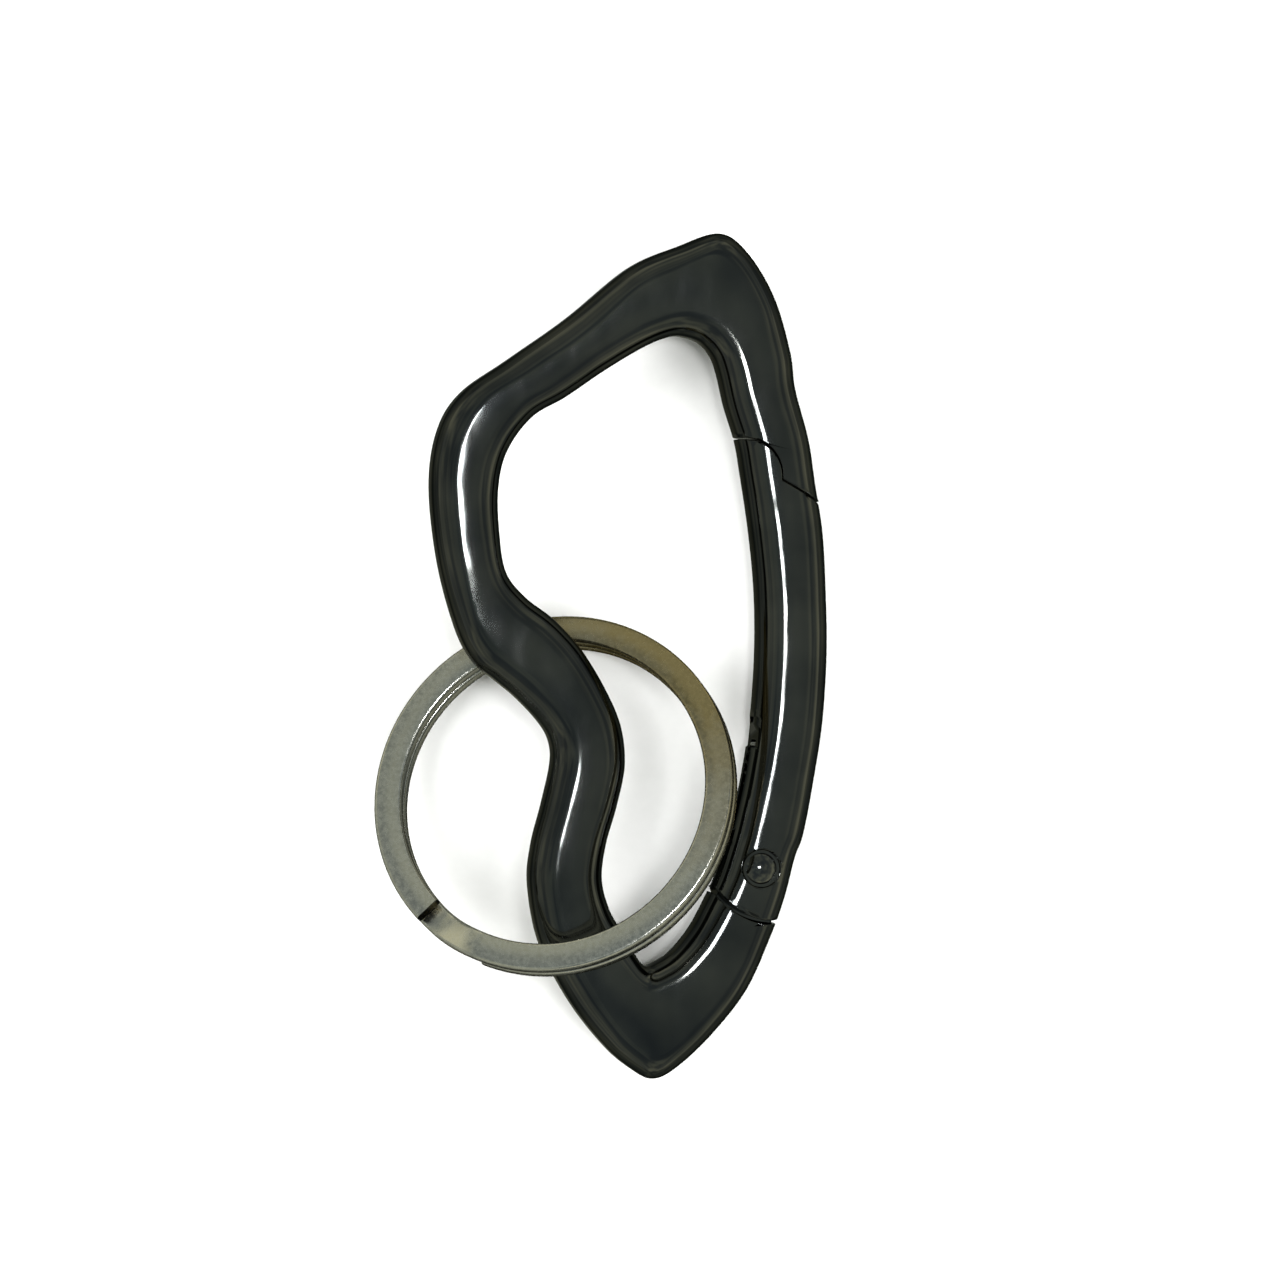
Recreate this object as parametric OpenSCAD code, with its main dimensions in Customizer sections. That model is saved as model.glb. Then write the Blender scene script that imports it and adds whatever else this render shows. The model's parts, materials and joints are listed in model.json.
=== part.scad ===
// Carabiner keyring: a cast hook with a spring gate, and a flat split ring threaded on its spine.
// The hook is drawn flat around its gate pivot, then laid on the table with its spine side raised,
// because the ring runs under the spine and over the lower leg.

/* [Hook] */
// length of the closed hook, nose to bottom tip
hook_length = 73.4; // [60:0.2:80]
// width of the closed hook across spine and gate
hook_width = 36; // [30:0.2:44]
// depth of the cast bar, front face to back face
bar_depth = 5.8; // [4:0.1:9]
// radius on the four long edges of the bar
bar_edge = 2.2; // [1:0.1:2.6]
// angle by which the spine side is raised off the table
hook_lean = 11.7; // [0:0.1:15]

/* [Gate] */
// thickness of the frame tang between the gate's two cheeks
tang_depth = 2.2; // [1.5:0.1:3.5]
// free space on each side of the tang
tang_side_gap = 0.1; // [0.05:0.01:0.3]
// height of the flat plunger face above the pivot when the gate is shut
cam_height = 2.4; // [2:0.1:4]
// distance the plunger is lifted per radian of gate travel
cam_lift = 1; // [0.5:0.1:1.5]
// how far the gate opens
gate_travel = 15; // [10:1:30]
// space left in the lap between gate tongue and nose
lap_gap = 0.12; // [0.08:0.01:0.4]
// space left between the cheek ends and the frame shoulder
shoulder_gap = 0.35; // [0.15:0.05:0.8]

/* [Rivet] */
// radius of the rivet shank
rivet_radius = 1; // [0.7:0.05:1.4]
// radius of the domed rivet heads
rivet_head_radius = 1.35; // [1.2:0.05:2]
// height of each domed head
rivet_head_height = 0.5; // [0.2:0.05:0.8]
// radial running clearance of the shank in the tang
rivet_clearance = 0.05; // [0.02:0.01:0.1]

/* [Gate spring] */
// outer radius of the coil spring
spring_radius = 1.2; // [0.8:0.05:1.4]
// diameter of the spring wire
spring_wire = 0.35; // [0.2:0.05:0.5]
// number of turns
spring_turns = 9; // [5:1:14]
// radial clearance of plunger and spring in the bore
bore_clearance = 0.1; // [0.05:0.01:0.2]
// height of the blind end of the bore above the pivot
bore_top = 11; // [9:0.5:16]

/* [Split ring] */
// outer diameter of the ring
ring_od = 31.8; // [25:0.2:40]
// width of the flat wire, across the ring
ring_band = 2.4; // [1.6:0.1:3.2]
// thickness of one coil of the wire
coil_depth = 1.2; // [0.8:0.05:1.6]
// space between the two coils
coil_gap = 0.1; // [0.05:0.01:0.3]
// radius on the edges of the wire
wire_edge = 0.3; // [0.1:0.05:0.5]
// angle of the step where the wire changes from one coil to the other
step_angle = 21; // [12:1:30]
// tilt of the ring against the hook
ring_tilt = 32; // [15:0.5:35]
// direction of the ring's swing axis, anticlockwise from straight across the hook
swing_direction = 56; // [-20:1:60]

/* [Hidden] */
// fineness of round surfaces
$fn = 96;

// ----- bar outline -----
// The sizes that the outline points below were set for.
drawn_length = 73.4;
drawn_width = 35.6;
scale_x = hook_width / drawn_width;
scale_y = hook_length / drawn_length;
// Stations round the bar, each [inner x, inner y, outer x, outer y] from the gate pivot,
// starting at the lap and running over the nose, down the spine, round the tip and up the gate.
stations = [
  [-3.9, 34, 2.5, 33.6], [-4.6, 36.7, 1.6, 37.4], [-5.8, 39.7, 0.1, 41.6], [-6.6, 42.2, -0.6, 44.8],
  [-7.3, 43.8, -2.4, 49.4], [-8.4, 44.9, -5, 53], [-9.8, 45.3, -7.6, 54.5], [-11.2, 45.2, -11, 53.1],
  [-13.4, 44.1, -15.2, 50.8], [-16.6, 41.8, -20.2, 46], [-19.8, 39.2, -25, 42], [-22.6, 37.2, -28.8, 38.8],
  [-24.5, 34.1, -30.5, 35.4], [-25, 30.8, -30.8, 30.6], [-24.6, 27, -29.6, 24.2], [-23.8, 23.8, -27.6, 18.6],
  [-22, 21.8, -25.9, 15.9], [-19.4, 20.1, -24, 14.5], [-16.8, 17.7, -22, 13.1], [-14.4, 14.4, -19.9, 11.2],
  [-12.8, 11.3, -18.8, 9.6], [-12.2, 8, -18.5, 7.6], [-12.6, 4.5, -19, 4], [-13.3, 1, -19.6, 0.5],
  [-13.4, -2, -19.6, -3], [-12.5, -4.6, -18.2, -8], [-11.2, -6.5, -15.2, -12.8], [-10.2, -8, -11.8, -16.5],
  [-9.5, -8.9, -9.3, -18.3], [-8.9, -9.2, -7.7, -18.9], [-8.1, -8.9, -5.9, -18], [-6.8, -7.9, -3, -15],
  [-5.3, -5.8, -0.1, -10.8], [-4.2, -3.4, 1.7, -6], [-3.3, -1, 2.7, -2.4], [-2.7, 1.4, 3.3, 1],
  [-2.3, 3.4, 3.9, 3.2], [-1.7, 7.5, 4.4, 7.6], [-1.3, 12.5, 4.8, 13], [-1.35, 18.5, 4.7, 19],
  [-1.85, 24, 4.2, 24.2], [-2.8, 29.3, 3.5, 29.4]
];
station_count = len(stations);
// sub-steps drawn between two stations
fineness = 3;

// station k of the closed loop, scaled to the wanted hook size but keeping the bar's own width
function station(k) =
  let (p = stations[(k + station_count) % station_count],
       middle = [(p[0] + p[2]) / 2 * scale_x, (p[1] + p[3]) / 2 * scale_y],
       half = [(p[2] - p[0]) / 2, (p[3] - p[1]) / 2])
  [middle.x, middle.y, half.x, half.y];

// smooth curve through four neighbouring stations, t from 0 to 1 between b and c
function blend(a, b, c, d, t) =
  0.5 * (2 * b + (c - a) * t + (2 * a - 5 * b + 4 * c - d) * t * t + (3 * b - a - 3 * c + d) * t * t * t);

// middle and half width of the bar at place u along the loop
function bar_at(u) =
  let (k = floor(u), t = u - k)
  blend(station(k - 1), station(k), station(k + 1), station(k + 2), t);

// rounded section of the bar: [distance outward, height], anticlockwise
corner_steps = 6;
function section(half_width) =
  [for (corner = [0:3], step = [0:corner_steps])
    let (angle = corner * 90 + step * 90 / corner_steps,
         side = (corner == 0 || corner == 3) ? 1 : -1,
         level = corner < 2 ? 1 : -1)
    [side * (half_width - bar_edge) + bar_edge * cos(angle),
     level * (bar_depth / 2 - bar_edge) + bar_edge * sin(angle)]];

// one ring of points of the bar, at place u
function bar_ring(u) =
  let (s = bar_at(u), half_width = norm([s[2], s[3]]), out = [s[2], s[3]] / half_width)
  [for (q = section(half_width)) [s[0] + out.x * q.x, s[1] + out.y * q.x, q.y]];

// closed skin over rings of equal point counts, with flat ends
module skin(rings) {
  n = len(rings[0]);
  last = len(rings) - 1;
  points = [for (ring = rings, p = ring) p];
  sides = [for (i = [0:last - 1], j = [0:n - 1], half = [0, 1])
    let (a = i * n + j, b = i * n + (j + 1) % n, c = a + n, d = b + n)
    half == 0 ? [a, b, d] : [a, d, c]];
  first_end = [for (j = [0:n - 1]) n - 1 - j];
  last_end = [for (j = [0:n - 1]) last * n + j];
  polyhedron(points, concat([first_end], sides, [last_end]), convexity = 8);
}

// the bar between two places along the loop
module bar(from, to) {
  count = round((to - from) * fineness);
  skin([for (i = [0:count]) bar_ring(from + (to - from) * i / count)]);
}

// ----- lap between gate tongue and nose -----
lap_x = -0.9 * scale_x;
lap_y = 33.6 * scale_y;
tongue_height = 3.3;
tongue_round = 3.2;
// how far cutting shapes reach past the bar on either side
past = 9;
// slope of the outer half of the seam, fall for each millimetre outward
seam_slope = 0.46;

// flat area that belongs to the gate at its upper end
module gate_end() {
  translate([lap_x, lap_y]) {
    polygon([[-past, -lap_y], [past, -lap_y], [past, -seam_slope * past], [0, 0], [-past, 0]]);
    translate([-past, -1]) square([past - tongue_round, tongue_height + 1]);
    translate([-past, -1]) square([past, tongue_height + 1 - tongue_round]);
    translate([-tongue_round, tongue_height - tongue_round]) circle(tongue_round);
  }
}

// ----- frame tang and cam -----
tang_radius = cam_height - 0.1;
// the cam runs on a little past the gate's full travel
cam_travel = gate_travel + 6;
// web that carries the cam and widens down into the leg, anticlockwise from below the cam's tip
tang_web = [[-2.5, 0], [-2.9, -1], [-3.6, -3], [-4.6, -5.4], [0, -7.5], [1.6, -5], [2.1, -2]];

// The plunger's flat face touches the tang along this curve: its distance from the pivot
// grows by cam_lift for each radian that the gate opens.
function cam_point(angle) =
  let (reach = cam_height + cam_lift * angle * PI / 180)
  [-reach * sin(angle) - cam_lift * cos(angle), reach * cos(angle) - cam_lift * sin(angle)];
cam_tip = cam_point(cam_travel);

module tang_outline() {
  circle(tang_radius);
  polygon(concat([[0, 0]], [for (i = [-5:10]) cam_point(cam_travel * i / 10)], [[-2.4, 0.6], [-2.3, 0]]));
  polygon(concat([cam_tip], tang_web, [[tang_radius, 0]]));
}

// round shoulder that the cheek ends face
shoulder_centre = [1.2, 1.6];
cheek_end_radius = 6.05;

module frame_tang() {
  translate([0, 0, -tang_depth / 2])
    linear_extrude(tang_depth)
      tang_outline();
}

module frame_flat() {
  difference() {
    union() {
      difference() {
        bar(-1, 34.4);
        translate([lap_gap * 0.5, lap_gap, -bar_depth])
          linear_extrude(2 * bar_depth)
            gate_end();
        translate([shoulder_centre.x, shoulder_centre.y, -bar_depth])
          cylinder(r = cheek_end_radius + shoulder_gap, h = 2 * bar_depth);
      }
      frame_tang();
    }
    translate([0, 0, -bar_depth])
      cylinder(r = rivet_radius + rivet_clearance, h = 2 * bar_depth);
  }
}

// ----- gate -----
fork_width = tang_depth + 2 * tang_side_gap;
fork_radius = norm(cam_tip) + 0.2;
// flat shelf of the fork, above the pivot
fork_shelf = 1.4;
sight_slot = 1.6;
// recess in the gate's inner side, up to where the bore ends
recess_low = 10.4;
recess_high = 13;
recess_x = -1;
// the plunger is this much larger in radius than the spring
plunger_rim = 0.05;
bore_radius = spring_radius + plunger_rim + bore_clearance;
spotface_radius = rivet_head_radius + 0.3;
spotface_depth = 0.25;
head_seat = bar_depth / 2 - spotface_depth;

module fork_outline() {
  circle(fork_radius);
  translate([-past, -past]) square([past, past + fork_radius]);
  translate([-past, -past]) square([2 * past, past + fork_shelf]);
}

module gate_flat() {
  difference() {
    intersection() {
      bar(33, station_count + 1.2);
      translate([0, 0, -bar_depth])
        linear_extrude(2 * bar_depth)
          union() {
            gate_end();
            intersection() {
              translate(shoulder_centre) circle(cheek_end_radius);
              translate([-past, -past]) square([2 * past, past + 3]);
            }
            translate([-past, 2]) square([2 * past, lap_y - 4]);
          }
    }
    translate([0, 0, -fork_width / 2])
      linear_extrude(fork_width)
        fork_outline();
    translate([-past, fork_radius - 1, -sight_slot / 2])
      cube([past, bore_top - fork_radius + 1, sight_slot]);
    translate([0, tang_radius - 0.4, 0])
      rotate([-90, 0, 0])
        cylinder(r = bore_radius, h = bore_top - tang_radius + 0.4);
    translate([recess_x - past, recess_low, -bar_depth])
      cube([past, recess_high - recess_low, 2 * bar_depth]);
    translate([0, 0, -bar_depth])
      cylinder(r = rivet_radius, h = 2 * bar_depth);
    for (side = [-1, 1])
      translate([0, 0, side * (head_seat + 1)])
        cylinder(r = spotface_radius, h = 2, center = true);
  }
}

// ----- pivot rivet -----
module rivet_flat() {
  dome = (pow(rivet_head_radius, 2) + pow(rivet_head_height, 2)) / (2 * rivet_head_height);
  cylinder(r = rivet_radius, h = 2 * head_seat + 0.2, center = true);
  for (side = [0, 180])
    rotate([side, 0, 0])
      intersection() {
        translate([0, 0, head_seat]) cylinder(r = rivet_head_radius, h = rivet_head_height);
        translate([0, 0, head_seat + rivet_head_height - dome]) sphere(dome);
      }
}

// ----- gate spring and plunger -----
plunger_radius = bore_radius - bore_clearance;
plunger_head = 0.8;
plunger_stem = spring_radius - spring_wire - 0.15;
stem_length = 2.2;
plunger_lift = 0.02;
// hair of space at each end of the spring
seat_gap = 0.01;
spring_low = cam_height + plunger_lift + plunger_head + seat_gap;
spring_length = bore_top - spring_low - seat_gap;

module plunger_flat() {
  translate([0, cam_height + plunger_lift, 0])
    rotate([-90, 0, 0]) {
      cylinder(r = plunger_radius, h = plunger_head);
      cylinder(r = plunger_stem, h = plunger_head + stem_length);
    }
}

// wire centre of the spring, with one closed turn at each end
spring_steps = 16;
function spring_rise(turn) =
  let (open = spring_length - spring_wire - 2 * spring_wire,
       share = (min(max(turn, 1), spring_turns - 1) - 1) / (spring_turns - 2))
  spring_wire / 2 + spring_wire * min(turn, 1) + open * share
  + spring_wire * max(turn - spring_turns + 1, 0);

module spring_flat() {
  mean = spring_radius - spring_wire / 2;
  rings = [for (i = [0:spring_turns * spring_steps])
    let (turn = i / spring_steps, angle = 360 * turn)
    [for (k = [0:7])
      let (r = mean + spring_wire / 2 * cos(k * 45), h = spring_rise(turn) + spring_wire / 2 * sin(k * 45))
      [r * cos(angle), spring_low + h, r * sin(angle)]]];
  skin(rings);
}

// ----- split ring -----
ring_radius = ring_od / 2;
coil_level = (coil_depth + coil_gap) / 2;
ring_depth = 2 * coil_depth + coil_gap;
// places on the ring, anticlockwise from straight across the hook
step_start = 229;
upper_end = step_start - 2.3;
step_end = step_start + step_angle;
lower_end = step_end + 1;
// the wire is this much smaller all round where it steps
step_shrink = 0.02;

// centres of the edge rounding, across and up from the middle of the wire
edge_across = ring_band / 2 - wire_edge;
edge_up = coil_depth / 2 - wire_edge;

// section of the flat wire: [radius, height]
module wire_section() {
  translate([ring_radius - ring_band, -coil_depth / 2 + wire_edge])
    square([ring_band, coil_depth - 2 * wire_edge]);
  translate([ring_radius - ring_band + wire_edge, -coil_depth / 2])
    square([ring_band - 2 * wire_edge, coil_depth]);
  for (across = [-1, 1], up = [-1, 1])
    translate([ring_radius - ring_band / 2 + across * edge_across, up * edge_up])
      circle(wire_edge, $fn = 16);
}

// the section as points, at one angle and height
function wire_ring(angle, level) =
  [for (corner = [0:3], step = [0:3])
    let (turn = corner * 90 + step * 30,
         across = (corner == 0 || corner == 3) ? 1 : -1,
         up = corner < 2 ? 1 : -1,
         rounding = wire_edge - step_shrink,
         r = ring_radius - ring_band / 2 + across * edge_across + rounding * cos(turn),
         h = level + up * edge_up + rounding * sin(turn))
    [r * cos(angle), r * sin(angle), h]];

module coil(from, to, level) {
  translate([0, 0, level])
    rotate([0, 0, from])
      rotate_extrude(angle = to - from)
        wire_section();
}

module ring_flat() {
  step_count = 14;
  lap_in = 0.3;
  coil(step_end - 360, upper_end, coil_level);
  coil(lower_end - 360, step_start, -coil_level);
  skin([for (i = [0:step_count])
    let (share = i / step_count)
    wire_ring(step_start - lap_in + (step_angle + 2 * lap_in) * share, -coil_level * cos(180 * share))]);
}

// ----- how the pieces lie on the table -----
// the ring's middle, from the gate pivot
ring_centre = [-18 * scale_x, 5 * scale_y, 0.4];
// outermost places of the gate, the nose and the bottom tip
outer_x = 4.8 * scale_x;
nose_y = 54.5 * scale_y;
tip_y = -18.9 * scale_y;

// The long edge of the gate and the far side of the ring both reach down to the table.
gate_drop = (outer_x - bar_edge) * sin(hook_lean) + (bar_depth / 2 - bar_edge) * cos(hook_lean) + bar_edge;
ring_upright = sin(ring_tilt) * sin(swing_direction) * sin(hook_lean) + cos(ring_tilt) * cos(hook_lean);
ring_drop = ring_radius * sqrt(1 - pow(ring_upright, 2)) + ring_depth / 2 * ring_upright
  + ring_centre.x * sin(hook_lean) - ring_centre.z * cos(hook_lean);
hook_lift = max(gate_drop, ring_drop);

// The origin lies halfway between the ring's left side and the gate's right side, and halfway up.
ring_aside = cos(ring_tilt) * sin(hook_lean) - sin(ring_tilt) * sin(swing_direction) * cos(hook_lean);
left_side = ring_centre.x * cos(hook_lean) + ring_centre.z * sin(hook_lean)
  - ring_radius * sqrt(1 - pow(ring_aside, 2)) - ring_depth / 2 * abs(ring_aside);
right_side = (outer_x - bar_edge) * cos(hook_lean) + (bar_depth / 2 - bar_edge) * sin(hook_lean) + bar_edge;
origin_x = (left_side + right_side) / 2;
origin_y = (nose_y + tip_y) / 2;

// from the flat drawing to the hook's place on the table
module lay_hook() {
  translate([-origin_x, -origin_y, hook_lift])
    rotate([0, hook_lean, 0])
      children();
}

module frame() {
  color([0.09, 0.1, 0.11]) lay_hook() frame_flat();
}

module gate() {
  color([0.12, 0.13, 0.15]) lay_hook() gate_flat();
}

module pivot_rivet() {
  color([0.2, 0.21, 0.22]) lay_hook() rivet_flat();
}

module gate_spring() {
  color([0.6, 0.6, 0.62]) lay_hook() spring_flat();
}

module spring_plunger() {
  color([0.7, 0.66, 0.5]) lay_hook() plunger_flat();
}

module split_ring() {
  color([0.62, 0.6, 0.52])
    lay_hook()
      translate(ring_centre)
        rotate([0, 0, swing_direction])
          rotate([-ring_tilt, 0, 0])
            rotate([0, 0, -swing_direction])
              ring_flat();
}

frame();
gate();
pivot_rivet();
gate_spring();
spring_plunger();
split_ring();
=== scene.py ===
import json
import math

import bpy
import bmesh
from mathutils import Matrix, Vector


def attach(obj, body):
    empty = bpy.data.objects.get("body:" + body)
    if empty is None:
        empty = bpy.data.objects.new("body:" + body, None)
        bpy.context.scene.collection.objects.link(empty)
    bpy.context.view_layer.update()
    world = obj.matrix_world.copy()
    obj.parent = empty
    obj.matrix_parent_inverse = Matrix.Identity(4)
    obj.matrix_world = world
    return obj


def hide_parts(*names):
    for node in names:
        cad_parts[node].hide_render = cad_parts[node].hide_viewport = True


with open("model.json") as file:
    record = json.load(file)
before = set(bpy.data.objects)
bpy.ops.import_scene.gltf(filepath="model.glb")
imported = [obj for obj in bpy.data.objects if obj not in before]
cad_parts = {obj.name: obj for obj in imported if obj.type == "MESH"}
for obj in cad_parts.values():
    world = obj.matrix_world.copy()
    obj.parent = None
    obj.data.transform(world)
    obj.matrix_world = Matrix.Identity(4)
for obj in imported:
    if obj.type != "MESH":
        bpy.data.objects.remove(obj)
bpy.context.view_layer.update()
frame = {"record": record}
print("keyring: packed frame loaded")

joints = {joint["name"]: joint for joint in frame["record"]["behaviour"]["joints"]}
gatePivot = joints["gate_pivot"]
ringSwing = joints["ring_swing"]
leanAngle = math.atan2(gatePivot["axis"][0], gatePivot["axis"][2])

# from the flat drawing, in mm round the gate pivot, to the hook's place on the table
layHook = (Matrix.Translation(gatePivot["pos_m"])
           @ Matrix.Rotation(leanAngle, 4, "Y")
           @ Matrix.Scale(0.001, 4))


# helpers that all pieces share

def onlyVerts(geom):
    return [part for part in geom if isinstance(part, bmesh.types.BMVert)]


def onlyEdges(geom):
    return [part for part in geom if isinstance(part, bmesh.types.BMEdge)]


def roundedOutline(bm, width, height, corner, segments):
    # rectangle with rounded corners, kept as a loop of edges
    sheet = bmesh.ops.create_grid(bm, x_segments=1, y_segments=1, size=0.5)
    bmesh.ops.scale(bm, vec=(width, height, 1), verts=sheet["verts"])
    bmesh.ops.bevel(bm, geom=sheet["verts"], offset=corner, offset_type="OFFSET", segments=segments,
                    profile=0.5, affect="VERTICES", material=-1)
    bmesh.ops.delete(bm, geom=bm.faces[:], context="FACES_ONLY")
    return bm.verts[:] + bm.edges[:]


def sweepOutline(bm, outline, places):
    # copies the outline to each place (matrix, extra half width) and bridges neighbours
    loops = []
    for place, widen in places:
        copy = bmesh.ops.duplicate(bm, geom=outline)["geom"]
        verts = onlyVerts(copy)
        bmesh.ops.translate(bm, vec=(widen, 0, 0), verts=[v for v in verts if v.co.x > 0])
        bmesh.ops.translate(bm, vec=(-widen, 0, 0), verts=[v for v in verts if v.co.x < 0])
        bmesh.ops.transform(bm, matrix=place, verts=verts)
        loops.append(onlyEdges(copy))
    bmesh.ops.delete(bm, geom=onlyVerts(outline), context="VERTS")
    for here, there in zip(loops, loops[1:]):
        bmesh.ops.bridge_loops(bm, edges=here + there)
    for end in (loops[0], loops[-1]):
        bmesh.ops.contextual_create(bm, geom=end)


def block(points, low, high):
    # prism over a flat outline, between two heights
    bm = bmesh.new()
    base = bm.faces.new([bm.verts.new((x, y, low)) for x, y in points])
    top = bmesh.ops.extrude_face_region(bm, geom=[base])["geom"]
    bmesh.ops.translate(bm, vec=(0, 0, high - low), verts=onlyVerts(top))
    return bm


def rod(radius, low, high, centre=(0, 0), segments=96):
    # round bar standing on the drawing plane
    bm = bmesh.new()
    bmesh.ops.create_cone(bm, cap_ends=True, segments=segments, radius1=radius, radius2=radius,
                          depth=high - low)
    bmesh.ops.translate(bm, vec=(centre[0], centre[1], (low + high) / 2), verts=bm.verts)
    return bm


def toObject(name, bm):
    bmesh.ops.recalc_face_normals(bm, faces=bm.faces)
    mesh = bpy.data.meshes.new(name)
    bm.to_mesh(mesh)
    bm.free()
    piece = bpy.data.objects.new(name, mesh)
    bpy.context.scene.collection.objects.link(piece)
    return piece


def carve(piece, steps):
    # works through (operation, tool) pairs and keeps the resulting mesh
    tools = []
    for operation, bm in steps:
        tool = toObject("tool", bm)
        tools.append(tool)
        cut = piece.modifiers.new("carve", "BOOLEAN")
        cut.operation = operation
        cut.solver = "EXACT"
        cut.object = tool
    bpy.context.view_layer.update()
    depsgraph = bpy.context.evaluated_depsgraph_get()
    carved = bpy.data.meshes.new_from_object(piece.evaluated_get(depsgraph))
    piece.modifiers.clear()
    piece.data = carved
    for tool in tools:
        bpy.data.objects.remove(tool)


def finishPiece(piece, place, material, body, node, sharpAngle=32, weld=0.004, rim=0):
    # cleans the mesh, lays it on the table and hands it to the CAD body
    bm = bmesh.new()
    bm.from_mesh(piece.data)
    bmesh.ops.remove_doubles(bm, verts=bm.verts, dist=weld)
    bmesh.ops.dissolve_degenerate(bm, edges=bm.edges, dist=weld)
    bmesh.ops.transform(bm, matrix=place, verts=bm.verts)
    bmesh.ops.recalc_face_normals(bm, faces=bm.faces)
    bm.to_mesh(piece.data)
    bm.free()
    piece.data.materials.clear()
    piece.data.materials.append(material)
    piece.data.shade_smooth()
    piece.data.set_sharp_from_angle(angle=math.radians(sharpAngle))
    if rim:
        broken = piece.modifiers.new("broken edges", "BEVEL")
        broken.width = rim * 0.001
        broken.segments = 3
        broken.limit_method = "ANGLE"
        broken.angle_limit = math.radians(sharpAngle + 8)
        broken.use_clamp_overlap = False
        broken.harden_normals = False
    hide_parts(node)
    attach(piece, body)
    return piece


# materials

def newMaterial(name):
    material = bpy.data.materials.new(name)
    material.use_nodes = True
    tree = material.node_tree
    shader = tree.nodes["Principled BSDF"]
    place = tree.nodes.new("ShaderNodeTexCoord")
    return material, tree, shader, place.outputs["Object"]


def noiseNode(tree, vector, scale, detail=2.0, roughness=0.5):
    noise = tree.nodes.new("ShaderNodeTexNoise")
    noise.inputs["Scale"].default_value = scale
    noise.inputs["Detail"].default_value = detail
    noise.inputs["Roughness"].default_value = roughness
    tree.links.new(vector, noise.inputs["Vector"])
    return noise.outputs["Fac"]


def rampNode(tree, factor, stops):
    ramp = tree.nodes.new("ShaderNodeValToRGB")
    ramp.color_ramp.elements[0].position, ramp.color_ramp.elements[0].color = stops[0]
    ramp.color_ramp.elements[1].position, ramp.color_ramp.elements[1].color = stops[-1]
    for position, colour in stops[1:-1]:
        ramp.color_ramp.elements.new(position).color = colour
    tree.links.new(factor, ramp.inputs["Fac"])
    return ramp.outputs["Color"]


def rangeNode(tree, factor, low, high, fromLow=0.3, fromHigh=0.7):
    spread = tree.nodes.new("ShaderNodeMapRange")
    spread.inputs["From Min"].default_value = fromLow
    spread.inputs["From Max"].default_value = fromHigh
    spread.inputs["To Min"].default_value = low
    spread.inputs["To Max"].default_value = high
    tree.links.new(factor, spread.inputs["Value"])
    return spread.outputs["Result"]


def mappedVector(tree, vector, scale=(1, 1, 1), turn=(0, 0, 0)):
    mapping = tree.nodes.new("ShaderNodeMapping")
    mapping.inputs["Scale"].default_value = scale
    mapping.inputs["Rotation"].default_value = turn
    tree.links.new(vector, mapping.inputs["Vector"])
    return mapping.outputs["Vector"]


def bumpNode(tree, height, strength, distance, below=None):
    bump = tree.nodes.new("ShaderNodeBump")
    bump.inputs["Strength"].default_value = strength
    bump.inputs["Distance"].default_value = distance
    tree.links.new(height, bump.inputs["Height"])
    if below:
        tree.links.new(below, bump.inputs["Normal"])
    return bump.outputs["Normal"]


blackNickel = {
    "dark": (0.074, 0.080, 0.082, 1),
    "light": (0.120, 0.124, 0.118, 1),
    "grazing": (0.32, 0.32, 0.31, 1),    # how bright the plating gets edge-on
    "gloss": (0.06, 0.12),       # roughness, from polished to handled
    "waveSize": 240,             # hand-polished waves, about 4 mm
    "waveHeight": 0.00012,
    "scratchSize": 5200,
}


def blackNickelFinish(name, tint=1.0):
    material, tree, shader, place = newMaterial(name)
    patches = noiseNode(tree, place, 140, 3)
    colour = rampNode(tree, patches, [(0.35, [c * tint for c in blackNickel["dark"][:3]] + [1]),
                                      (0.65, [c * tint for c in blackNickel["light"][:3]] + [1])])
    tree.links.new(colour, shader.inputs["Base Color"])
    shader.inputs["Metallic"].default_value = 1.0
    shader.inputs["Specular Tint"].default_value = blackNickel["grazing"]
    smears = noiseNode(tree, mappedVector(tree, place, (1, 0.35, 1), (0, 0, 0.4)), 420, 4, 0.6)
    tree.links.new(rangeNode(tree, smears, *blackNickel["gloss"]), shader.inputs["Roughness"])
    waves = noiseNode(tree, place, blackNickel["waveSize"], 1)
    waved = bumpNode(tree, waves, 0.5, blackNickel["waveHeight"])
    lengthwise = mappedVector(tree, place, (1, 0.04, 1), (0, 0, 0.1))
    hairlines = noiseNode(tree, lengthwise, blackNickel["scratchSize"], 2)
    tree.links.new(bumpNode(tree, hairlines, 0.05, 0.000004, waved), shader.inputs["Normal"])
    return material


ringNickel = {
    "olive": (0.56, 0.45, 0.24, 1),
    "silver": (0.80, 0.79, 0.74, 1),
    "grazing": (0.12, 0.11, 0.09, 1),
    "gloss": (0.16, 0.30),
    # near-black colour for the wire's cut ends: painted shade
    "paintedEndShade": (0.07, 0.07, 0.065, 1),
    "paintedEndShadeMark": "paintedEndShade",    # face attribute, 1 on the wire's ends
    "speckSize": 2600,           # pitted specks, about 0.4 mm
    "paintedSheenTurn": -0.95,         # turns X towards the side with the painted reflection, radians
    "paintedSheenSpan": (-0.016, 0.006),
}


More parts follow.
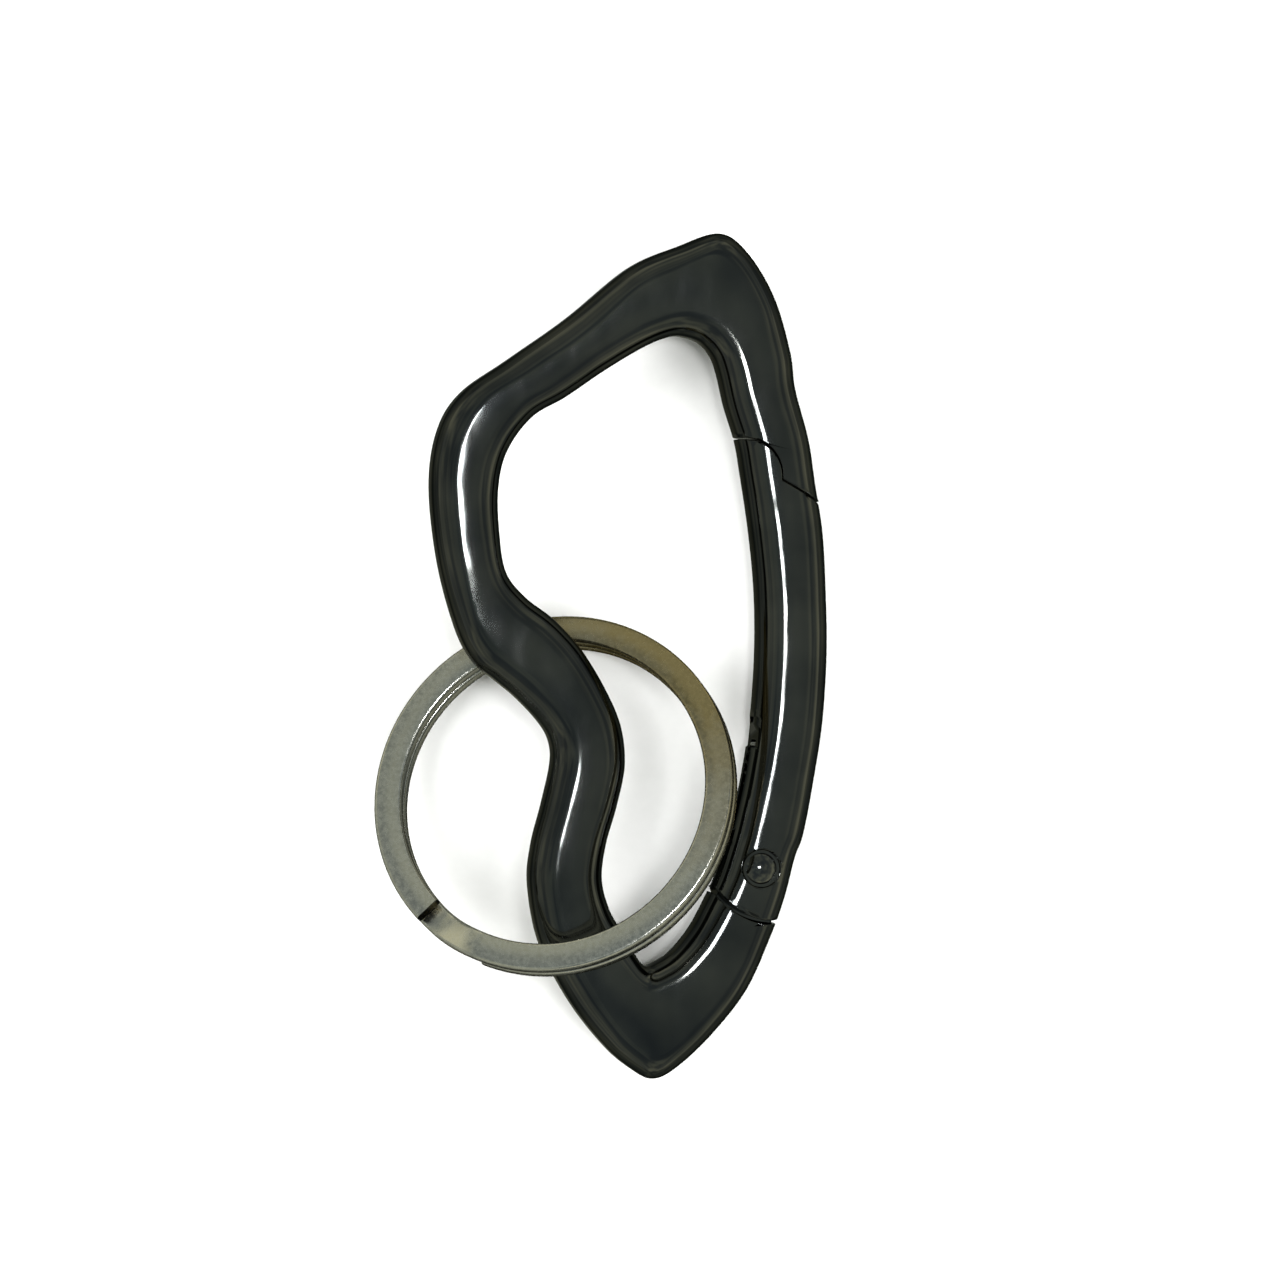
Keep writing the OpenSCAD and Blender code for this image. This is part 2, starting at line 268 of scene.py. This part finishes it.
def ringNickelFinish(name):
    material, tree, shader, place = newMaterial(name)
    # painted reflection: a colour gradient across the ring makes one side bright silver and the other dim olive,
    # mixed with random tarnish patches
    spot = tree.nodes.new("ShaderNodeSeparateXYZ")
    tree.links.new(mappedVector(tree, place, turn=(0, 0, ringNickel["paintedSheenTurn"])), spot.inputs["Vector"])
    paintedSheen = rangeNode(tree, spot.outputs["X"], 0.95, 0.05, *ringNickel["paintedSheenSpan"])
    cloud = noiseNode(tree, place, 160, 4, 0.7)
    mixed = tree.nodes.new("ShaderNodeMath")
    mixed.operation = "MULTIPLY_ADD"
    mixed.inputs[1].default_value = 0.5
    tree.links.new(cloud, mixed.inputs[0])
    tree.links.new(paintedSheen, mixed.inputs[2])
    # random tarnish patches plus the painted reflection gradient
    tarnishAndSheen = mixed.outputs["Value"]
    specks = noiseNode(tree, place, ringNickel["speckSize"], 3, 0.7)
    base = rampNode(tree, tarnishAndSheen, [(0.45, ringNickel["olive"]), (0.95, ringNickel["silver"])])
    fleck = rampNode(tree, specks, [(0.36, (0.62, 0.62, 0.60, 1)), (0.58, (1, 1, 1, 1))])
    blend = tree.nodes.new("ShaderNodeMix")
    blend.data_type = "RGBA"
    blend.blend_type = "MULTIPLY"
    blend.inputs["Factor"].default_value = 0.5
    tree.links.new(base, blend.inputs["A"])
    tree.links.new(fleck, blend.inputs["B"])
    # painted shade: the wire's two cut ends get a near-black colour in place of the shadow at the coil's step
    paintedEndShade = tree.nodes.new("ShaderNodeAttribute")
    paintedEndShade.attribute_name = ringNickel["paintedEndShadeMark"]
    ends = tree.nodes.new("ShaderNodeMix")
    ends.data_type = "RGBA"
    tree.links.new(paintedEndShade.outputs["Fac"], ends.inputs["Factor"])
    tree.links.new(blend.outputs["Result"], ends.inputs["A"])
    ends.inputs["B"].default_value = ringNickel["paintedEndShade"]
    tree.links.new(ends.outputs["Result"], shader.inputs["Base Color"])
    shader.inputs["Metallic"].default_value = 1.0
    shader.inputs["Specular Tint"].default_value = ringNickel["grazing"]
    tree.links.new(rangeNode(tree, specks, *ringNickel["gloss"]), shader.inputs["Roughness"])
    pits = bumpNode(tree, specks, 0.18, 0.00002)
    scratches = noiseNode(tree, mappedVector(tree, place, (1, 0.05, 1), (0, 0, 0.7)), 4200, 2)
    tree.links.new(bumpNode(tree, scratches, 0.2, 0.00001, pits), shader.inputs["Normal"])
    return material


def drawnMetalFinish(name, colour, gloss):
    # plain turned or drawn metal with fine lines
    material, tree, shader, place = newMaterial(name)
    lines = noiseNode(tree, mappedVector(tree, place, (1, 6, 1)), 2400, 3)
    darker = [c * 0.75 for c in colour] + [1]
    shade = rampNode(tree, lines, [(0.3, darker), (0.7, list(colour) + [1])])
    tree.links.new(shade, shader.inputs["Base Color"])
    shader.inputs["Metallic"].default_value = 1.0
    tree.links.new(rangeNode(tree, lines, *gloss), shader.inputs["Roughness"])
    tree.links.new(bumpNode(tree, lines, 0.2, 0.00001), shader.inputs["Normal"])
    return material


frameFinish = blackNickelFinish("frame black nickel")
gateFinish = blackNickelFinish("gate black nickel", 1.05)
rivetFinish = blackNickelFinish("rivet black nickel", 1.3)
ringFinish = ringNickelFinish("split ring nickel")
springFinish = drawnMetalFinish("spring wire", (0.55, 0.55, 0.56), (0.22, 0.34))
plungerFinish = drawnMetalFinish("plunger brass", (0.62, 0.50, 0.28), (0.24, 0.38))
print("keyring: finishes ready")


# the bar that frame and gate are cut from, drawn flat in mm

bar = {
    "depth": 5.8,
    "edge": 2.2,                 # radius on the four long edges
    "edgeSegments": 9,
    "widthScale": 36 / 35.6,
    "rim": 0.12,                 # radius that breaks the edges left by the cuts
    "gateWeld": 0.03,            # a wider weld keeps the gate's broken edges out of its fork
    "stepsPerStation": 8,
    # inner x, inner y, outer x, outer y: nose, spine, bottom tip, gate
    "stations": [
        (-3.9, 34, 2.5, 33.6), (-4.6, 36.7, 1.6, 37.4), (-5.8, 39.7, 0.1, 41.6), (-6.6, 42.2, -0.6, 44.8),
        (-7.3, 43.8, -2.4, 49.4), (-8.4, 44.9, -5, 53), (-9.8, 45.3, -7.6, 54.5), (-11.2, 45.2, -11, 53.1),
        (-13.4, 44.1, -15.2, 50.8), (-16.6, 41.8, -20.2, 46), (-19.8, 39.2, -25, 42), (-22.6, 37.2, -28.8, 38.8),
        (-24.5, 34.1, -30.5, 35.4), (-25, 30.8, -30.8, 30.6), (-24.6, 27, -29.6, 24.2), (-23.8, 23.8, -27.6, 18.6),
        (-22, 21.8, -25.9, 15.9), (-19.4, 20.1, -24, 14.5), (-16.8, 17.7, -22, 13.1), (-14.4, 14.4, -19.9, 11.2),
        (-12.8, 11.3, -18.8, 9.6), (-12.2, 8, -18.5, 7.6), (-12.6, 4.5, -19, 4), (-13.3, 1, -19.6, 0.5),
        (-13.4, -2, -19.6, -3), (-12.5, -4.6, -18.2, -8), (-11.2, -6.5, -15.2, -12.8), (-10.2, -8, -11.8, -16.5),
        (-9.5, -8.9, -9.3, -18.3), (-8.9, -9.2, -7.7, -18.9), (-8.1, -8.9, -5.9, -18), (-6.8, -7.9, -3, -15),
        (-5.3, -5.8, -0.1, -10.8), (-4.2, -3.4, 1.7, -6), (-3.3, -1, 2.7, -2.4), (-2.7, 1.4, 3.3, 1),
        (-2.3, 3.4, 3.9, 3.2), (-1.7, 7.5, 4.4, 7.6), (-1.3, 12.5, 4.8, 13), (-1.35, 18.5, 4.7, 19),
        (-1.85, 24, 4.2, 24.2), (-2.8, 29.3, 3.5, 29.4),
    ],
}


def barStation(k):
    innerX, innerY, outerX, outerY = bar["stations"][k % len(bar["stations"])]
    return Vector(((innerX + outerX) / 2 * bar["widthScale"], (innerY + outerY) / 2,
                   (outerX - innerX) / 2, (outerY - innerY) / 2))


def barPlace(u):
    # place of the section at u along the loop, and how much wider it is than the base outline
    k = math.floor(u)
    t = u - k
    a, b, c, d = (barStation(k + i) for i in (-1, 0, 1, 2))
    s = 0.5 * (2 * b + (c - a) * t + (2 * a - 5 * b + 4 * c - d) * t * t + (3 * b - a - 3 * c + d) * t ** 3)
    halfWidth = math.hypot(s[2], s[3])
    out = Vector((s[2], s[3], 0)) / halfWidth
    up = Vector((0, 0, 1))
    along = out.cross(up)
    place = Matrix((out, up, along)).transposed().to_4x4()
    place.translation = (s[0], s[1], 0)
    return place, halfWidth - bar["depth"] / 2


def castBar(name, start, stop):
    bm = bmesh.new()
    outline = roundedOutline(bm, bar["depth"], bar["depth"], bar["edge"], bar["edgeSegments"])
    count = round((stop - start) * bar["stepsPerStation"])
    sweepOutline(bm, outline, [barPlace(start + (stop - start) * i / count) for i in range(count + 1)])
    return toObject(name, bm)


# frame and gate castings

lap = {
    "corner": (-0.9 * bar["widthScale"], 33.6),
    "tongueHeight": 3.3,
    "tongueRound": 3.2,
    "seamSlope": 0.46,
    "gap": 0.12,
}
pivot = {
    "shoulder": (1.2, 1.6),
    "cheekRadius": 6.05,
    "shoulderGap": 0.35,
    "tangDepth": 2.2,
    "sideGap": 0.1,
    "camHeight": 2.4,
    "camLift": 1.0,
    "camTravel": 21,
    "tangWeb": [(-2.5, 0), (-2.9, -1), (-3.6, -3), (-4.6, -5.4), (0, -7.5), (1.6, -5), (2.1, -2)],
    "rivetRadius": 1.0,
    "rivetClearance": 0.05,
    "headRadius": 1.35,
    "headHeight": 0.5,
    "spotfaceDepth": 0.25,
}
past = 9
deep = bar["depth"]


def movedPoints(points, dx, dy):
    return [(x + dx, y + dy) for x, y in points]


def gateEnd(dx=0.0, dy=0.0):
    # the gate's side of the lap: the outer seam, and the tongue with its rounded corner
    x, y = lap["corner"][0] + dx, lap["corner"][1] + dy
    seamPoints = [(-past, -30), (past, -30), (past, -lap["seamSlope"] * past), (0, 0), (-past, 0)]
    seam = block(movedPoints(seamPoints, x, y), -deep, deep)
    tonguePoints = [(-past, -1), (0, -1), (0, lap["tongueHeight"]), (-past, lap["tongueHeight"])]
    tongue = block(movedPoints(tonguePoints, x, y), -deep, deep)
    corner = [e for e in tongue.edges
              if all(abs(v.co.x - x) < 0.01 and v.co.y > y + 1 for v in e.verts)]
    bmesh.ops.bevel(tongue, geom=corner, offset=lap["tongueRound"], offset_type="OFFSET", segments=18,
                    profile=0.5, affect="EDGES", material=-1)
    return seam, tongue


def camPoint(angle):
    reach = pivot["camHeight"] + pivot["camLift"] * math.radians(angle)
    s, c = math.sin(math.radians(angle)), math.cos(math.radians(angle))
    return (-reach * s - pivot["camLift"] * c, reach * c - pivot["camLift"] * s)


camTip = camPoint(pivot["camTravel"])
tangRadius = pivot["camHeight"] - 0.1
forkRadius = math.hypot(*camTip) + 0.2
halfTang = pivot["tangDepth"] / 2
halfFork = halfTang + pivot["sideGap"]

frameCasting = castBar("frameCasting", -1, 34.4)
lowSide, tongueSide = gateEnd(lap["gap"] / 2, lap["gap"])
carve(frameCasting, [
    ("DIFFERENCE", lowSide),
    ("DIFFERENCE", tongueSide),
    ("DIFFERENCE", rod(pivot["cheekRadius"] + pivot["shoulderGap"], -deep, deep, pivot["shoulder"])),
    ("UNION", block([camTip] + pivot["tangWeb"] + [(tangRadius, 0)], -halfTang, halfTang)),
    ("UNION", block([(0, 0)] + [camPoint(pivot["camTravel"] * i / 10) for i in range(-5, 11)] + [(-2.4, 0.6)],
                    -halfTang, halfTang)),
    ("UNION", rod(tangRadius, -halfTang, halfTang)),
    ("DIFFERENCE", rod(pivot["rivetRadius"] + pivot["rivetClearance"], -deep, deep)),
])
finishPiece(frameCasting, layHook, frameFinish, "frame", "frame", rim=bar["rim"])
print("keyring: frame casting done")

gateCasting = castBar("gateCasting", 33, 43.2)
keep = toObject("gateRegion", block([(-past, 2), (past, 2), (past, 31.6), (-past, 31.6)], -deep, deep))
lowSide, tongueSide = gateEnd()
carve(keep, [("UNION", lowSide), ("UNION", tongueSide),
             ("DIFFERENCE", block([(-past - 20, -30), (past + 20, -30), (past + 20, 2), (-past - 20, 2)],
                                  -deep - 1, deep + 1)),
             ("UNION", rod(pivot["cheekRadius"], -deep, deep, pivot["shoulder"]))])
keepMesh = bmesh.new()
keepMesh.from_mesh(keep.data)
bpy.data.objects.remove(keep)

springBore = {
    "radius": 1.35,
    "top": 11.0,
    "sightSlot": 1.6,
    "recessLow": 10.4,
    "recessHigh": 13.0,
    "recessX": -1.0,
}
boreTool = rod(springBore["radius"], tangRadius - 0.4, springBore["top"])
bmesh.ops.rotate(boreTool, cent=(0, 0, 0), matrix=Matrix.Rotation(math.radians(-90), 3, "X"),
                 verts=boreTool.verts)
headSeat = bar["depth"] / 2 - pivot["spotfaceDepth"]
halfSlot = springBore["sightSlot"] / 2
carve(gateCasting, [
    ("INTERSECT", keepMesh),
    ("DIFFERENCE", rod(forkRadius, -halfFork, halfFork)),
    ("DIFFERENCE", block([(-past, -past), (0, -past), (0, forkRadius), (-past, forkRadius)],
                         -halfFork, halfFork)),
    ("DIFFERENCE", block([(-past, -past), (past, -past), (past, 1.4), (-past, 1.4)], -halfFork, halfFork)),
    ("DIFFERENCE", block([(-past, forkRadius - 1), (0, forkRadius - 1), (0, springBore["top"]),
                          (-past, springBore["top"])], -halfSlot, halfSlot)),
    ("DIFFERENCE", boreTool),
    ("DIFFERENCE", block([(springBore["recessX"] - past, springBore["recessLow"]),
                          (springBore["recessX"], springBore["recessLow"]),
                          (springBore["recessX"], springBore["recessHigh"]),
                          (springBore["recessX"] - past, springBore["recessHigh"])], -deep, deep)),
    ("DIFFERENCE", rod(pivot["rivetRadius"], -deep, deep)),
    ("DIFFERENCE", rod(pivot["headRadius"] + 0.3, headSeat, deep)),
    ("DIFFERENCE", rod(pivot["headRadius"] + 0.3, -deep, -headSeat)),
])
finishPiece(gateCasting, layHook, gateFinish, "gate", "gate",
            weld=bar["gateWeld"], rim=bar["rim"])
print("keyring: gate casting done")


# pivot rivet, turned from a profile

def turned(name, profile, axisPoint=(0, 0, 0), axis=(0, 0, 1), steps=72):
    # spins a profile of (radius, height) points about the drawing's upright
    bm = bmesh.new()
    verts = [bm.verts.new((r, 0, h)) for r, h in profile]
    edges = [bm.edges.new(pair) for pair in zip(verts, verts[1:])]
    bmesh.ops.spin(bm, geom=verts + edges, cent=axisPoint, axis=axis, angle=math.tau, steps=steps,
                   use_merge=True)
    bmesh.ops.remove_doubles(bm, verts=bm.verts, dist=0.0005)
    return toObject(name, bm)


domeRise = pivot["headHeight"]
domeRadius = (pivot["headRadius"] ** 2 + domeRise ** 2) / (2 * domeRise)
domeSweep = math.asin(pivot["headRadius"] / domeRadius)
domeProfile = [(domeRadius * math.sin(domeSweep * i / 10),
                headSeat + domeRise - domeRadius * (1 - math.cos(domeSweep * i / 10))) for i in range(11)]
rivetSide = domeProfile + [(pivot["headRadius"], headSeat), (pivot["rivetRadius"], headSeat)]
rivet = turned("pivotRivet", rivetSide + [(r, -h) for r, h in reversed(rivetSide)])
finishPiece(rivet, layHook, rivetFinish, "gate", "pivot_rivet", 40, 0.0005)
print("keyring: rivet done")


# spring and plunger inside the gate

spring = {
    "radius": 1.2,
    "wire": 0.35,
    "turns": 9,
    "low": 3.23,
    "high": 10.99,
    "wireSides": 12,
    "stepsPerTurn": 28,
}
springWire = bmesh.new()
wireLoop = bmesh.ops.create_circle(springWire, segments=spring["wireSides"], radius=spring["wire"] / 2)
meanRadius = spring["radius"] - spring["wire"] / 2
bmesh.ops.rotate(springWire, cent=(0, 0, 0), matrix=Matrix.Rotation(math.radians(90), 3, "X"),
                 verts=wireLoop["verts"])
bmesh.ops.translate(springWire, vec=(meanRadius, 0, spring["low"] + spring["wire"] / 2),
                    verts=wireLoop["verts"])
openRise = spring["high"] - spring["low"] - 3 * spring["wire"]
loop = springWire.verts[:] + springWire.edges[:]
bmesh.ops.contextual_create(springWire, geom=springWire.edges[:])
for turns, rise in ((1, spring["wire"]), (spring["turns"] - 2, openRise), (1, spring["wire"])):
    steps = turns * spring["stepsPerTurn"]
    loop = bmesh.ops.spin(springWire, geom=loop, cent=(0, 0, 0), axis=(0, 0, 1), dvec=(0, 0, rise / steps),
                          angle=math.tau * turns, steps=steps)["geom_last"]
bmesh.ops.contextual_create(springWire, geom=onlyEdges(loop))
upright = Matrix.Rotation(math.radians(-90), 4, "X")     # the gate's bore runs along the drawing's Y
finishPiece(toObject("gateSpring", springWire), layHook @ upright, springFinish, "gate", "gate_spring",
            60, 0.0005)

plungerShape = {"low": 2.42, "head": 0.8, "headRadius": 1.25, "stemRadius": 0.7, "stem": 2.2, "chamfer": 0.1}
low, chamfer = plungerShape["low"], plungerShape["chamfer"]
shelf = low + plungerShape["head"]
tip = shelf + plungerShape["stem"]
headR, stemR = plungerShape["headRadius"], plungerShape["stemRadius"]
plunger = turned("springPlunger", [
    (0, low), (headR - chamfer, low), (headR, low + chamfer),
    (headR, shelf - chamfer / 2), (headR - chamfer / 2, shelf),
    (stemR, shelf), (stemR, tip - chamfer), (stemR - chamfer, tip), (0, tip)], steps=48)
finishPiece(plunger, layHook @ upright, plungerFinish, "plunger", "spring_plunger",
            40, 0.0005)
print("keyring: spring and plunger done")


# split ring: one flat wire wound into two coils

splitRing = {
    "radius": 15.9,
    "band": 2.4,
    "coilDepth": 1.2,
    "coilGap": 0.1,
    "wireEdge": 0.3,
    "tilt": 32,
    "direction": 56,
    "stepStart": 229,
    "stepAngle": 21,
    "upperEnd": 226.7,
    "lowerEnd": 251,
    "degreesPerStep": 2.0,
}
coilLevel = (splitRing["coilDepth"] + splitRing["coilGap"]) / 2
firstAngle = splitRing["lowerEnd"] - 360
lastAngle = splitRing["upperEnd"] + 360
middleRadius = splitRing["radius"] - splitRing["band"] / 2


def ringPlace(angle):
    # the wire runs low, steps up once, and runs high
    share = min(max((angle - splitRing["stepStart"]) / splitRing["stepAngle"], 0), 1)
    level = -coilLevel * math.cos(math.pi * share)
    a = math.radians(angle)
    out = Vector((math.cos(a), math.sin(a), 0))
    up = Vector((0, 0, 1))
    place = Matrix((out, up, out.cross(up))).transposed().to_4x4()
    place.translation = out * middleRadius + up * level
    return place, 0.0


ringMesh = bmesh.new()
wireOutline = roundedOutline(ringMesh, splitRing["band"], splitRing["coilDepth"], splitRing["wireEdge"], 4)
ringSteps = round((lastAngle - firstAngle) / splitRing["degreesPerStep"])
sweepOutline(ringMesh, wireOutline,
             [ringPlace(firstAngle + (lastAngle - firstAngle) * i / ringSteps) for i in range(ringSteps + 1)])
# marks the wire's end faces that get the painted shade
paintedEndShadeMark = ringMesh.faces.layers.float.new(ringNickel["paintedEndShadeMark"])
for face in ringMesh.faces:
    face[paintedEndShadeMark] = float(len(face.verts) > 4)      # only the end faces have more than four corners
direction = math.radians(splitRing["direction"])
layRing = (Matrix.Translation(ringSwing["pos_m"])
           @ Matrix.Rotation(leanAngle, 4, "Y")
           @ Matrix.Rotation(direction, 4, "Z")
           @ Matrix.Rotation(-math.radians(splitRing["tilt"]), 4, "X")
           @ Matrix.Rotation(-direction, 4, "Z")
           @ Matrix.Scale(0.001, 4))
finishPiece(toObject("splitRing", ringMesh), layRing, ringFinish, "ring", "split_ring",
            50, 0.0005)
print("keyring: split ring done")


# table, light and camera

studio = {
    "tableSize": 3.0,
    "tableColour": (0.93, 0.93, 0.92, 1),
    "fieldWidth": 0.1107,        # width of view at the hook's height
    "cameraHeight": 0.42,
    "cameraRoll": 4.533,
    "lookAt": (-0.011475, 0.018874, 0.006),      # from the gate pivot, at the hook's height
}

tableMesh = bmesh.new()
bmesh.ops.create_grid(tableMesh, x_segments=2, y_segments=2, size=studio["tableSize"] / 2)
table = toObject("table", tableMesh)
tableFinish, tableTree, tableShader, tablePlace = newMaterial("pale table")
grain = noiseNode(tableTree, tablePlace, 900, 3)
tableTree.links.new(rampNode(tableTree, grain, [(0.3, (0.91, 0.91, 0.90, 1)), (0.7, studio["tableColour"])]),
                    tableShader.inputs["Base Color"])
tableShader.inputs["Roughness"].default_value = 0.9
tableShader.inputs["Specular IOR Level"].default_value = 0.1
table.data.materials.append(tableFinish)
table.visible_glossy = False     # its white would wash out the dark flanks of the plating

world = bpy.data.worlds.new("soft room")
bpy.context.scene.world = world
world.use_nodes = True
worldTree = world.node_tree
direction = worldTree.nodes.new("ShaderNodeTexCoord").outputs["Generated"]
height = worldTree.nodes.new("ShaderNodeSeparateXYZ")
worldTree.links.new(direction, height.inputs["Vector"])
room = rampNode(worldTree, height.outputs["Z"], [(0.0, (0.20, 0.21, 0.19, 1)), (0.05, (0.46, 0.46, 0.40, 1)),
                                                 (0.35, (0.34, 0.35, 0.31, 1)),
                                                 (0.8, (0.22, 0.24, 0.24, 1)), (1.0, (0.20, 0.23, 0.24, 1))])
blotches = rampNode(worldTree, noiseNode(worldTree, direction, 3.2, 1), [(0.40, (0.62, 0.66, 0.68, 1)),
                                                                         (0.66, (1.5, 1.45, 1.2, 1))])
overhead = worldTree.nodes.new("ShaderNodeMix")
overhead.data_type = "RGBA"
overhead.blend_type = "MULTIPLY"
overhead.inputs["Factor"].default_value = 1.0
worldTree.links.new(room, overhead.inputs["A"])
worldTree.links.new(blotches, overhead.inputs["B"])
worldTree.links.new(overhead.outputs["Result"], worldTree.nodes["Background"].inputs["Color"])
worldTree.nodes["Background"].inputs["Strength"].default_value = 1.0


def softLight(name, place, aim, size, power, colour=(1, 1, 1), shines=True):
    lamp = bpy.data.lights.new(name, "AREA")
    lamp.shape = "RECTANGLE"
    lamp.size, lamp.size_y = size
    lamp.energy = power
    lamp.color = colour
    holder = bpy.data.objects.new(name, lamp)
    holder.location = place
    holder.rotation_euler = (Vector(aim) - Vector(place)).to_track_quat("-Z", "Y").to_euler()
    holder.visible_glossy = shines      # fill lights brighten the table but aren't mirrored in the plating
    bpy.context.scene.collection.objects.link(holder)


softLight("window", (0.11, 0.03, 0.62), (0, 0, 0), (0.085, 0.11), 1.1)
softLight("left fill", (-0.9, 0.25, 0.9), (0, 0, 0), (1.0, 1.0), 24, shines=False)
softLight("right fill", (0.9, -0.2, 0.9), (0, 0, 0), (1.0, 1.0), 21, shines=False)

lookAt = (gatePivot["pos_m"][0] + studio["lookAt"][0], gatePivot["pos_m"][1] + studio["lookAt"][1])
camera = bpy.data.cameras.new("camera")
camera.sensor_width = 36
camera.lens = 36 * (studio["cameraHeight"] - studio["lookAt"][2]) / studio["fieldWidth"]
camera.clip_start = 0.01
viewer = bpy.data.objects.new("camera", camera)
viewer.location = (lookAt[0], lookAt[1], studio["cameraHeight"])
viewer.rotation_euler = (0, 0, math.radians(studio["cameraRoll"]))
bpy.context.scene.collection.objects.link(viewer)
bpy.context.scene.camera = viewer
bpy.context.scene.view_settings.view_transform = "Standard"
print("keyring: table, lights and camera set")
